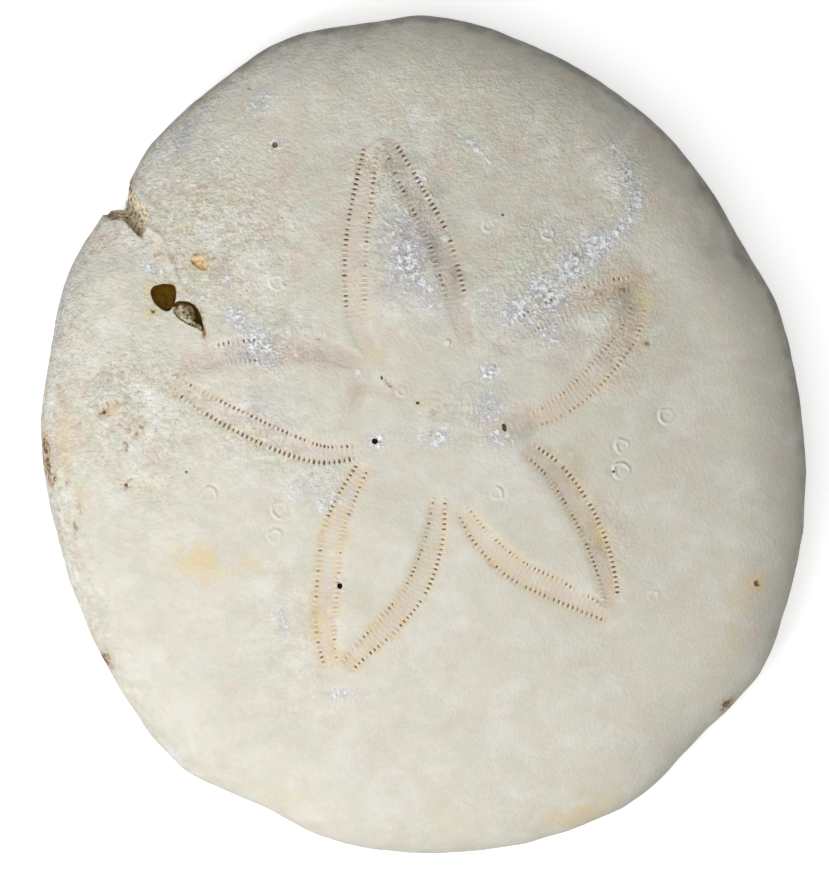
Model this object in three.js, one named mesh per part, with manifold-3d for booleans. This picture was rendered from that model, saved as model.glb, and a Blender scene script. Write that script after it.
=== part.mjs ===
// A sand dollar's test: the dry, domed shell of a thick-rimmed sea urchin, in one piece.
// It lies on its flat underside, mouth down, with the five-petalled star on top.
// Millimetres and degrees. +Z is up, +Y is the front of the animal, turned about 11 degrees.
// The origin is on the resting plane, under the middle of the outline.
import * as THREE from 'three';
import { mergeVertices } from 'three/addons/utils/BufferGeometryUtils.js';
import Module from 'manifold-3d';

// Driving dimensions
const rimThickness = 13; // the swollen edge, from the resting plane to the top of its shoulder
const domeHeight = 8; // how far the middle rises above that shoulder
const shoulderWidth = 9; // how far in from the edge the upper curve of the rim reaches
const footWidth = 8; // the same for the lower curve
const footInner = 0.65; // inner edge of the flat resting ring, as a share of its outer radius
const undersideHollow = 2.4; // how deep the underside is dished around the mouth
const apex = { x: 1.7, y: 2.8 }; // middle of the star, a little forward of the middle
const segmentsAround = 82;
const segmentsDown = 50;

// The outline seen from above, as angle and radius from the origin
const outline = [
  [0, 50.05], [10, 49.5], [20, 49.55], [30, 48.85], [42, 49.8], [55, 51.1],
  [72, 52.85], [88, 54.95], [98, 54.6], [109, 55], [120, 53.5], [133, 52.3],
  [140, 50.9], [147, 51.05], [156, 51.15], [168, 50.15], [180, 50.2], [196, 49.9],
  [212, 51], [228, 53.25], [235, 54], [246, 53.15], [258, 54.65], [272, 55],
  [285, 55.35], [300, 55.5], [312, 53.85], [325, 54.2], [334, 52.9], [346, 51.4],
];

// The five petals: direction and length from the apex. Each stands slightly proud.
const petals = [
  { angle: 101.3, length: 37 },
  { angle: 31.1, length: 32.1 },
  { angle: -49.5, length: 35.6 },
  { angle: -110.1, length: 36.8 },
  { angle: 174, length: 35.1 },
];
const petalHalfWidth = 7.3;
const petalRise = 0.5;

// Openings. Each hole lists its centre, its two widths and its turn.
const mouth = { x: 1.2, y: 1.8, radius: 3.6, depth: 7 };
const vent = { x: 9.3, y: -36.5, width: 3.4, length: 4.6, turn: 11, depth: 4 };
const ventTop = 0.4; // the vent's cutter starts this far outside the resting plane
const pores = [
  { x: -6.3, y: -0.9, width: 1, length: 1, turn: 0, depth: 4 },
  { x: 10.6, y: 0.9, width: 1, length: 1.4, turn: 0, depth: 3 },
  { x: -0.7, y: 4.1, width: 0.7, length: 0.7, turn: 0, depth: 2 },
  { x: -10.9, y: -19.8, width: 0.9, length: 0.9, turn: 0, depth: 4 },
  { x: -19.4, y: 37.9, width: 0.9, length: 0.9, turn: 0, depth: 2 },
  { x: -29.5, y: 22.4, width: 2.3, length: 1.2, turn: -20, depth: 1.2 },
];
const chamber = { x: -32.1, y: 17.1, length: 10, width: 7, height: 6.5, turn: -40, roof: 2.2 };
// Broken places, each drawn in plan as it shows on the surface
const breaks = [
  [[-35.6, 19.4], [-34, 19.75], [-32.6, 19.7], [-32.25, 19.2], [-32.4, 18.2], [-32.6, 17.1],
    [-33.5, 16.1], [-34.3, 16.3], [-34.9, 16.8], [-35.4, 17.6]],
  [[-31.9, 17.15], [-31.1, 17.4], [-30.1, 16.85], [-29.3, 15.95], [-28.95, 15], [-29.15, 14.5],
    [-29.9, 14], [-30.9, 14.5], [-31.9, 15.05], [-32.9, 15.7], [-32.3, 16.3]],
];
const breakDepth = 6;
const notch = [[-39.1, 32.6], [-37.8, 31.4], [-36.4, 30.1], [-35.9, 28.2], [-36.3, 26.8],
  [-37.2, 25.1], [-38.1, 26.1], [-39.3, 27.7], [-41, 28.7], [-43, 28.6], [-46, 31], [-42, 35]];
const notchTop = 18; // the notch's cutter reaches from here to below the resting plane
const notchBottom = -1;
const notchLean = { x: -0.15, y: 0.11 }; // its walls lean outwards by this much per millimetre down

const radians = THREE.MathUtils.degToRad;
const smooth = (value) => THREE.MathUtils.smoothstep(value, 0, 1);

// Rim radius measured from the apex in any direction, read from one smooth closed curve
const outlinePoints = outline.map(([angle, radius]) => new THREE.Vector3(
  radius * Math.cos(radians(angle)), radius * Math.sin(radians(angle)), 0));
const rimCurve = new THREE.CatmullRomCurve3(outlinePoints, true, 'centripetal');
const rimSamples = rimCurve.getSpacedPoints(720).slice(0, -1)
  .map((p) => [Math.atan2(p.y - apex.y, p.x - apex.x), Math.hypot(p.x - apex.x, p.y - apex.y)])
  .sort((a, b) => a[0] - b[0]);

function rimRadius(angle) {
  const after = rimSamples.findIndex((sample) => sample[0] > angle);
  const next = rimSamples[after < 0 ? 0 : after];
  const last = rimSamples[after <= 0 ? rimSamples.length - 1 : after - 1];
  const turn = 2 * Math.PI;
  const gap = (next[0] - last[0] + turn) % turn;
  const share = ((angle - last[0] + turn) % turn) / gap;
  return last[1] + (next[1] - last[1]) * share;
}

// Height of the petals' swelling above the plain dome
function petalSwell(x, y) {
  let rise = 0;
  for (const petal of petals) {
    const turn = radians(petal.angle);
    const along = (x * Math.cos(turn) + y * Math.sin(turn)) / petal.length;
    const across = Math.abs(y * Math.cos(turn) - x * Math.sin(turn));
    if (along <= 0 || along >= 1) continue;
    const halfWidth = petalHalfWidth * Math.sin(Math.PI * along ** 0.62) ** 0.7;
    rise = Math.max(rise, petalRise * smooth(1.4 * (1 - across / halfWidth)));
  }
  return rise;
}

function domeAt(share) {
  return domeHeight * (1 - Math.min(share, 1) ** 2) ** 1.3;
}

// Height of the upper surface over a point given from the apex
function topHeight(x, y) {
  const rim = rimRadius(Math.atan2(y, x));
  const radius = Math.hypot(x, y);
  const inset = Math.min(Math.max(rim - radius, 0) / shoulderWidth, 1);
  const curve = Math.sqrt(1 - (1 - inset) ** 2);
  return rimThickness / 2 * (1 + curve) + domeAt(radius / rim) + petalSwell(x, y);
}

// Down a meridian the test is a dome, a round shoulder, a round undercut and a flat foot.
const domeEnd = 28 / segmentsDown;
const shoulderEnd = 34 / segmentsDown;
const undercutEnd = 40 / segmentsDown;

function meridianPoint(share, rim) {
  if (share <= domeEnd) return { radius: (rim - shoulderWidth) * share / domeEnd, top: true };
  if (share <= shoulderEnd) {
    const turn = (shoulderEnd - share) / (shoulderEnd - domeEnd) * Math.PI / 2;
    return { radius: rim - shoulderWidth * (1 - Math.cos(turn)), top: true };
  }
  if (share <= undercutEnd) {
    const turn = (share - shoulderEnd) / (undercutEnd - shoulderEnd) * Math.PI / 2;
    const z = share > undercutEnd - 1e-6 ? 0 : rimThickness / 2 * (1 - Math.sin(turn));
    return { radius: rim - footWidth * (1 - Math.cos(turn)), z };
  }
  const inward = (1 - share) / (1 - undercutEnd);
  const dish = inward >= footInner ? 0 : smooth(1 - inward / footInner);
  return { radius: (rim - footWidth) * inward, z: undersideHollow * dish };
}

function bodyGeometry() {
  const ball = new THREE.SphereGeometry(1, segmentsAround, segmentsDown).rotateX(Math.PI / 2);
  const position = ball.attributes.position;
  for (let i = 0; i < position.count; i += 1) {
    const angle = Math.atan2(position.getY(i), position.getX(i));
    const share = Math.acos(THREE.MathUtils.clamp(position.getZ(i), -1, 1)) / Math.PI;
    const point = meridianPoint(share, rimRadius(angle));
    const x = point.radius * Math.cos(angle);
    const y = point.radius * Math.sin(angle);
    const z = point.top ? topHeight(x, y) : point.z;
    position.setXYZ(i, x + apex.x, y + apex.y, z);
  }
  return ball;
}

// manifold-3d does the cuts
const wasm = await Module();
wasm.setup();

function toSolid(geometry) {
  geometry.deleteAttribute('normal');
  geometry.deleteAttribute('uv');
  const merged = mergeVertices(geometry);
  return new wasm.Manifold(new wasm.Mesh({
    numProp: 3,
    vertProperties: merged.attributes.position.array,
    triVerts: Uint32Array.from(merged.index.array),
  }));
}

function surfaceAt(place) {
  return topHeight(place.x - apex.x, place.y - apex.y);
}

// A straight-sided oval hole, open at the top
function shaft(hole) {
  const clear = 1;
  const cutter = new THREE.CylinderGeometry(0.5, 0.42, hole.depth + clear, 12);
  cutter.rotateX(Math.PI / 2).scale(hole.width, hole.length, 1).rotateZ(radians(hole.turn));
  return toSolid(cutter.translate(hole.x, hole.y, surfaceAt(hole) + (clear - hole.depth) / 2));
}

// The broken-into hollow under the two large holes
function chamberSolid() {
  const cutter = new THREE.IcosahedronGeometry(0.5, 2);
  cutter.scale(chamber.length, chamber.width, chamber.height).rotateZ(radians(chamber.turn));
  const z = surfaceAt(chamber) - chamber.roof - chamber.height / 2;
  return toSolid(cutter.translate(chamber.x, chamber.y, z));
}

// A straight-sided cutter with the given plan
function prism(plan, bottom, top) {
  const shape = new THREE.Shape(plan.map(([x, y]) => new THREE.Vector2(x, y)));
  return new THREE.ExtrudeGeometry(shape, { depth: top - bottom, bevelEnabled: false })
    .translate(0, 0, bottom);
}

function breakSolid(plan) {
  const top = surfaceAt({ x: plan[0][0], y: plan[0][1] });
  return toSolid(prism(plan, top - breakDepth, top + 2));
}

// The bite out of the rim: its walls lean outwards as they go down
function notchSolid() {
  const lean = new THREE.Matrix4().set(
    1, 0, -notchLean.x, notchLean.x * notchTop,
    0, 1, -notchLean.y, notchLean.y * notchTop,
    0, 0, 1, 0,
    0, 0, 0, 1,
  );
  return toSolid(prism(notch, notchBottom, notchTop).applyMatrix4(lean));
}

// The mouth: a round pit with a blunt end, in the middle of the underside
function mouthSolid() {
  const top = undersideHollow + mouth.depth;
  const profile = [[0, -1], [mouth.radius * 1.15, -1], [mouth.radius, undersideHollow],
    [mouth.radius * 0.8, top - 1.5], [mouth.radius * 0.45, top - 0.3], [0, top]];
  const points = profile.map(([radius, y]) => new THREE.Vector2(radius, y));
  return toSolid(new THREE.LatheGeometry(points, 24).rotateX(Math.PI / 2)
    .translate(mouth.x, mouth.y, 0));
}

function ventSolid() {
  const cutter = new THREE.CylinderGeometry(0.4, 0.5, vent.depth + ventTop, 16).rotateX(Math.PI / 2);
  cutter.scale(vent.width, vent.length, 1).rotateZ(radians(vent.turn));
  return toSolid(cutter.translate(vent.x, vent.y, (vent.depth - ventTop) / 2));
}

function testGeometry() {
  const cutters = [mouthSolid(), ventSolid(), notchSolid(), chamberSolid(),
    ...pores.map(shaft), ...breaks.map(breakSolid)];
  const solid = cutters.reduce((left, cutter) => left.subtract(cutter), toSolid(bodyGeometry()));
  const cut = solid.getMesh();
  const geometry = new THREE.BufferGeometry();
  geometry.setAttribute('position', new THREE.BufferAttribute(cut.vertProperties, cut.numProp));
  geometry.setIndex(new THREE.BufferAttribute(cut.triVerts, 1));
  geometry.computeVertexNormals();
  return geometry;
}

// Sun-bleached, slightly creamy calcite with a chalky surface
const chalk = new THREE.MeshStandardMaterial({ color: 0xd6d2c6, roughness: 0.85, metalness: 0 });

const sandDollar = new THREE.Group();
const test = new THREE.Mesh(testGeometry(), chalk);
test.name = 'test';
sandDollar.add(test);

export default sandDollar;
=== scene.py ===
import math
import random
import bpy
import numpy as np
from mathutils import Matrix, Vector, kdtree, noise


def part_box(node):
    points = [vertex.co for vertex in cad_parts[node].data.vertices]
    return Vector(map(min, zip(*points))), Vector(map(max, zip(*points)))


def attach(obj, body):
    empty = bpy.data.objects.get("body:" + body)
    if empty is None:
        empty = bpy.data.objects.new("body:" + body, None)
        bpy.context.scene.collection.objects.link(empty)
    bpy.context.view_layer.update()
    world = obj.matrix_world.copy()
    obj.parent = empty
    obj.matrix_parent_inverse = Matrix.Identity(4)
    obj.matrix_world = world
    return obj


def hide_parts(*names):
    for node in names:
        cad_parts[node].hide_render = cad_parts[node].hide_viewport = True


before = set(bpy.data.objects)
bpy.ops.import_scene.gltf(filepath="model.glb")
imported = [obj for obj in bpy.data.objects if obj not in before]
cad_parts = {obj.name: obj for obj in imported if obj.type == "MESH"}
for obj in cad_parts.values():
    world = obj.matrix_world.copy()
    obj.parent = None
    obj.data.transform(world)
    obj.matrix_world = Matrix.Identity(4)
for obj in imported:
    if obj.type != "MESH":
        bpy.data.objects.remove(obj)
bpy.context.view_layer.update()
testLow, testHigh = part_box("test")
mm = 0.001
scene = bpy.context.scene
random.seed(11)
noise.seed_set(11)

# All lengths in the dictionaries are millimetres, and all turns are degrees.
# Places are seen from above and start at the middle of the outline. +X is right, +Y is the front petal.

testShape = {
    "apex": (1.7, 2.8),  # middle of the star
    "rimThickness": 13,
    "shoulderWidth": 9,  # how far in the upper curve of the rim reaches
    "footWidth": 8,
    "footInner": 0.65,  # inner edge of the flat resting ring, as a share of its radius
    "undersideHollow": 2.4,
    "outline": [  # angle and radius from the middle
        (0, 50.05), (10, 49.5), (20, 49.55), (30, 48.85), (42, 49.8), (55, 51.1),
        (72, 52.85), (88, 54.95), (98, 54.6), (109, 55), (120, 53.5), (133, 52.3),
        (140, 50.9), (147, 51.05), (156, 51.15), (168, 50.15), (180, 50.2), (196, 49.9),
        (212, 51), (228, 53.25), (235, 54), (246, 53.15), (258, 54.65), (272, 55),
        (285, 55.35), (300, 55.5), (312, 53.85), (325, 54.2), (334, 52.9), (346, 51.4),
    ],
    "segments": 400,
    "rings": 150,
    "domeRings": 92,
    "shoulderRings": 108,
    "undercutRings": 120,
}

# Each petal has two sides. A side's route runs from the apex end to the tip, along its outer row of
# slits. "open" says where pores still show along it: start share, end share and chance. "inner" is
# the chance that a slit's partner in the inner row shows too, "size" makes the pores finer or bolder,
# and "stain" is how brown they are.
petals = {
    "front": {
        "left": {"route": [(-7.4, 10.4), (-9.4, 13.6), (-10.2, 19.4), (-10, 26), (-8.9, 32.3), (-7.5, 38.4)],
                 "open": [(0.22, 0.5, 0.35), (0.5, 0.97, 0.8)], "inner": 0.4, "size": 0.95, "stain": 0.4},
        "right": {"route": [(6.9, 12), (5.2, 19.4), (3.2, 26.3), (-0.2, 32.5), (-3.9, 38.7)],
                   "open": [(0.24, 0.36, 0.85), (0.36, 0.5, 0.15), (0.5, 1, 0.85)], "inner": 0.7,
                  "size": 1.05, "stain": 0.35},
    },
    "frontRight": {
        "left": {"route": [(9.2, 11.6), (13.4, 15.8), (19.3, 18.6), (24.4, 20.2), (27.6, 20.5)],
                 "open": [(0.24, 0.36, 0.8), (0.36, 0.8, 0.05), (0.8, 0.95, 0.2)], "inner": 0.15,
                 "size": 0.85, "stain": 0.5},
        "right": {"route": [(14, 0.9), (17.2, 2), (21.3, 4.6), (25.2, 8.7), (28, 12.8), (29.4, 17.8)],
                  "open": [(0.05, 0.85, 0.85), (0.85, 1, 0.3)], "inner": 0.7, "size": 0.62, "stain": 0.5},
    },
    "backRight": {
        "left": {"route": [(13.8, -0.9), (18, -4), (21.9, -9.3), (24.3, -14.9), (25.4, -20.2), (25.4, -22.4)],
                 "open": [(0.05, 0.45, 0.85), (0.45, 0.95, 0.95)], "inner": 0.75, "size": 0.9, "stain": 0.9},
        "right": {"route": [(4.7, -10.6), (6.8, -14.2), (11.3, -18.7), (16.7, -21.4), (22.4, -23.8),
                            (24.2, -24.5)],
                  "open": [(0, 1, 0.85)], "inner": 0.6, "size": 0.72, "stain": 0.8},
    },
    "backLeft": {
        "left": {"route": [(2.9, -8.7), (2.5, -14.2), (0.3, -20.8), (-4, -26.1), (-7.6, -29.2), (-9.4, -31)],
                 "open": [(0, 0.6, 0.85), (0.6, 0.97, 0.7)], "inner": 0.45, "size": 0.82, "stain": 0.9},
        "right": {"route": [(-8.6, -3.9), (-11.1, -8), (-12.9, -12.2), (-13.7, -17.8), (-14, -24.6),
                            (-13.4, -28.6), (-12.5, -31.2)],
                  "open": [(0, 0.3, 0.9), (0.3, 0.85, 0.3), (0.85, 0.97, 0.7)], "inner": 0.6, "size": 0.78,
                  "stain": 1.0},
    },
    "frontLeft": {
        "left": {"route": [(-8.6, -3.1), (-13.2, -3.7), (-18, -2.5), (-24.2, 0.3), (-29.6, 3.5),
                           (-33.6, 6.5)],
                 "open": [(0.03, 0.78, 0.95), (0.78, 1, 0.3)], "inner": 0.8, "size": 1, "stain": 0.45},
        "right": {"route": [(-8.2, 10.2), (-13.5, 12.5), (-20.5, 12.4), (-26.4, 11.8), (-31.6, 9.6)],
                  "open": [(0.53, 0.8, 0.6)], "inner": 0.2, "size": 0.85, "stain": 0.15},
    },
}

poreRows = {
    "pitch": 0.67,
    "slit": (0.80, 0.32),  # length across the row, width along it
    "dot": (0.52, 0.32),
    "depth": 0.34,
    "taper": 0.8,
    "sizes": (0.8, 1.1),
    "innerStain": 0.8,
    "above": 0.3,  # how far the cutters start above the surface
    "gapEnds": 1.5,  # between the slits and the inner row
    "gapMiddle": 2.7,
    "furrow": 0.14,  # how deep the band of pores is sunk
    "swell": 0.5,  # how far a petal stands proud
    "swellWidth": 4.2,  # how far in from a row a petal reaches its full height
    "openEnd": (9, 17),  # the petals rise between these distances from the apex
    "shownFrom": 0.1,  # a stretch with a smaller chance than this has no traces of closed pores
    "stainReach": 0.85,
}

# The crack runs from the broken rim past the two holes. Its left side has dropped.
crack = {
    "route": [(-36.3, 26.9), (-35.3, 26.3), (-34.3, 25.2), (-33.9, 23.6), (-33.1, 21.8), (-32.4, 20.3),
              (-31.2, 18.5), (-29.9, 17.5), (-29, 16), (-28.6, 14.2), (-28.2, 12), (-28.4, 9.6)],
    "drop": 0.75,
    "lip": 0.22,
    "reach": 8,
    "fades": (0.62, 0.3),  # share of the route where the step is gone, and how long it takes to go
}

# Round openings: place, two widths, turn and depth
roundHoles = {
    "genital pore left": (-6.3, -0.9, 0.8, 0.8, 0, 3.2),
    "genital pore right": (10.6, 0.9, 0.62, 1.1, 15, 0.9),
    "genital pore small": (-0.7, 4.1, 0.5, 0.45, 0, 0.5),
    "pinprick by the star": (-5.4, 7.4, 0.28, 0.6, 10, 0.8),
    "pinprick in the back petal": (-10.9, -19.8, 0.72, 0.78, 0, 3),
    "pinprick in the front": (-19.4, 37.9, 0.8, 0.8, 0, 0.6),
    "pinprick by a ring": (24.9, -4.85, 0.42, 0.36, 0, 0.8),
    "pit on the left": (-41.7, 2.9, 0.55, 0.42, 30, 0.35),
    "pit left of the streak": (-38.8, -6.6, 0.32, 0.3, 0, 0.35),
    "pit on the right": (43.6, -19.5, 0.5, 0.65, 0, 0.4),
    "pit behind the crack": (-35.3, 16, 0.36, 0.3, 20, 0.4),
    "pinprick right of the front": (10.4, 28.7, 0.4, 0.36, 0, 0.4),
    "pinprick left of a ring": (-31, -4.9, 0.34, 0.3, 0, 0.4),
}

# Old spine bosses, worn to rings: place, width, strength and the side that is still crisp
bossRings = [
    (-19.2, 19.9, 1.7, 0.6, 200), (8.6, 27.3, 1.4, 0.5, 240), (16.4, 26.3, 1.4, 0.75, 270),
    (-28, -7.9, 1.8, 0.7, 60), (-18.8, -9.9, 1.9, 0.85, 250), (-19.4, -13.3, 1.6, 0.7, 100),
    (26, -1.5, 1.6, 0.7, 150), (25.9, -4.7, 1.9, 0.85, 120), (31.8, 2.4, 1.7, 0.75, 200),
    (9.6, -7.7, 1.4, 0.5, 0), (8.8, 8.3, 1.3, 0.8, 200), (-2.8, 5.6, 1, 0.5, 200),
    (30.2, -21.2, 1.3, 0.4, 90),
]

# Bosses that still stand as low pale knobs: place and width
bossKnobs = [(0.8, 31.1, 1), (3.1, 25.7, 1.1), (8.8, 8.3, 0.7), (-18.2, 19.4, 0.5), (3.2, 12, 0.8)]

brokenPlaces = {
    "round hole": {
        "plan": [(-35.6, 19.3), (-34.7, 19.65), (-33.3, 19.7), (-32.5, 19.45), (-32.3, 18.6), (-32.42, 17.6),
                 (-32.6, 16.95), (-33.2, 16.15), (-33.9, 16.15), (-34.8, 16.75), (-35.45, 17.6),
                 (-35.75, 18.6)],
        # depth reached and width there, level after level
        "levels": [(0.6, 0.98), (1.2, 1), (2, 1.1), (3, 1.3), (4.2, 1.45), (5.4, 1.1)],
        "rough": 0.13,
    },
    "long hole": {
        "plan": [(-32.45, 17.25), (-31.6, 17.5), (-30.7, 17.35), (-29.9, 16.9), (-29.3, 16.1), (-28.95, 15.1),
                 (-28.75, 13.8), (-29.1, 13.6), (-29.9, 14), (-30.6, 14.3), (-31.4, 14.7), (-32.1, 15.2),
                 (-32.6, 15.8), (-32.75, 16.5)],
        "levels": [(0.6, 0.99), (1.2, 1.02), (2.2, 1.08), (3.6, 1)],
        "rough": 0.14,
    },
    "shallow pit": {
        "plan": [(-30.75, 23.1), (-30, 23.45), (-28.95, 23.3), (-28.35, 22.5), (-28.2, 21.6), (-28.9, 21.45),
                 (-29.8, 21.9), (-30.5, 22.5)],
        "levels": [(0.3, 0.8), (0.5, 0.5)],
        "rough": 0.06,
    },
}

# The corner broken out of the rim. The break slopes outwards from the plan on the surface to the
# plan at the widest level of the rim, point for point.
notch = {
    "surfacePlan": [(-38.6, 33.3), (-38, 31.8), (-37.1, 31.1), (-36.4, 29.9), (-35.9, 28.4), (-36.4, 26.9),
                    (-37.3, 25.7), (-38.2, 26.8), (-39.2, 27.8), (-40.5, 28.3), (-41.9, 28.5), (-44.5, 31),
                    (-42, 35)],
    "rimPlan": [(-38.8, 34.4), (-38.5, 33.2), (-38.5, 32.2), (-38.6, 31.2), (-38.8, 30.4), (-38.9, 29.9),
                (-39.1, 29.45), (-39.6, 29.35), (-40.2, 29.3), (-41, 29.2), (-42.2, 28.8), (-44.5, 31.2),
                (-42, 35)],
    "surfaceLevel": 12.2,
    "rimLevel": 6.8,
    "top": 18,
    "bottom": -1,
    "levels": 34,
    "rough": 0.34,
}

# Finer faces: how far they reach round the crack, its line, the broken places and the bosses
fineReach = {"crack": 1.2, "line": 0.7, "broken": 2.8, "boss": 0.6}

# Rolls in the surface: height, size and where in the noise they are read
rolls = {"long": (0.2, 11, 3.1), "short": (0.06, 3.2, 8.4), "coarse": (0.06, 1.5, 5.7)}
coarseStretch = (0.55, 1.3)

# Lumps in the rim: first ring and rings to full height, last ring and rings back from it, height and
# size of the broad lumps, height of the fine ones
rimLumps = {"from": (90, 10), "to": (126, 12), "broad": (0.14, 3.5), "fine": 0.05}

# Grains washed into the long hole: place, depth below the surface and size
rubble = [
    (-31.5, 15.8, 2.2, 1.3), (-30.8, 15.1, 1.8, 0.9), (-32.2, 16, 1.2, 0.62), (-31.7, 16.5, 1.3, 0.6),
    (-31.4, 15.4, 0.8, 0.55), (-30.6, 14.8, 0.75, 0.5), (-30.9, 15.9, 1.1, 0.5), (-30.1, 14.5, 0.7, 0.4),
    (-29.5, 14.1, 0.8, 0.36), (-32, 15.4, 0.6, 0.36), (-31.1, 14.9, 0.5, 0.32), (-30.5, 15.4, 1, 0.42),
    (-29.2, 13.9, 0.6, 0.28), (-31.2, 15.6, 0.6, 0.3), (-32.6, 16.4, 0.55, 0.34),
]

undersideParts = {
    "mouth": (1.2, 1.8),
    "mouthRadius": 3.6,
    "mouthLevels": [(0, 1.12), (1.2, 0.95), (3, 0.85), (5.5, 0.8), (6.6, 0.55), (7, 0.25)],  # height, width
    "vent": (9.3, -36.5, 3.4, 4.6, 11),
    "ventDepth": 4,
    "grooveDepth": 0.7,  # the five food grooves that run to the mouth
    "grooveWidth": 1.1,
    "grooveReach": 30,
}

print("sand dollar: frame loaded, values set")


# Curves in plan

def smoothPath(points, closed=False, steps=24):
    pts = [np.array(p, float) for p in points]
    ends = ([pts[-1]], pts[:2]) if closed else ([2 * pts[0] - pts[1]], [2 * pts[-1] - pts[-2]])
    pts = ends[0] + pts + ends[1]
    path = []
    for a, b, c, d in zip(pts, pts[1:], pts[2:], pts[3:]):
        knots = np.cumsum([0] + [np.linalg.norm(q - p) ** 0.5 for p, q in ((a, b), (b, c), (c, d))])
        t = np.linspace(knots[1], knots[2], steps, endpoint=False)[:, None]

        def between(p, q, i, j):
            return ((knots[j] - t) * p + (t - knots[i]) * q) / (knots[j] - knots[i])

        ab, bc, cd = between(a, b, 0, 1), between(b, c, 1, 2), between(c, d, 2, 3)
        path.append(between(between(ab, bc, 0, 2), between(bc, cd, 1, 3), 1, 2))
    if not closed:
        path.append(pts[-2][None])
    return np.concatenate(path)


def smoothStep(value):
    value = np.clip(value, 0, 1)
    return value * value * (3 - 2 * value)


# Stains, wear and painted shade: each blot is a place, two sizes, a turn and a strength.

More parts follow.
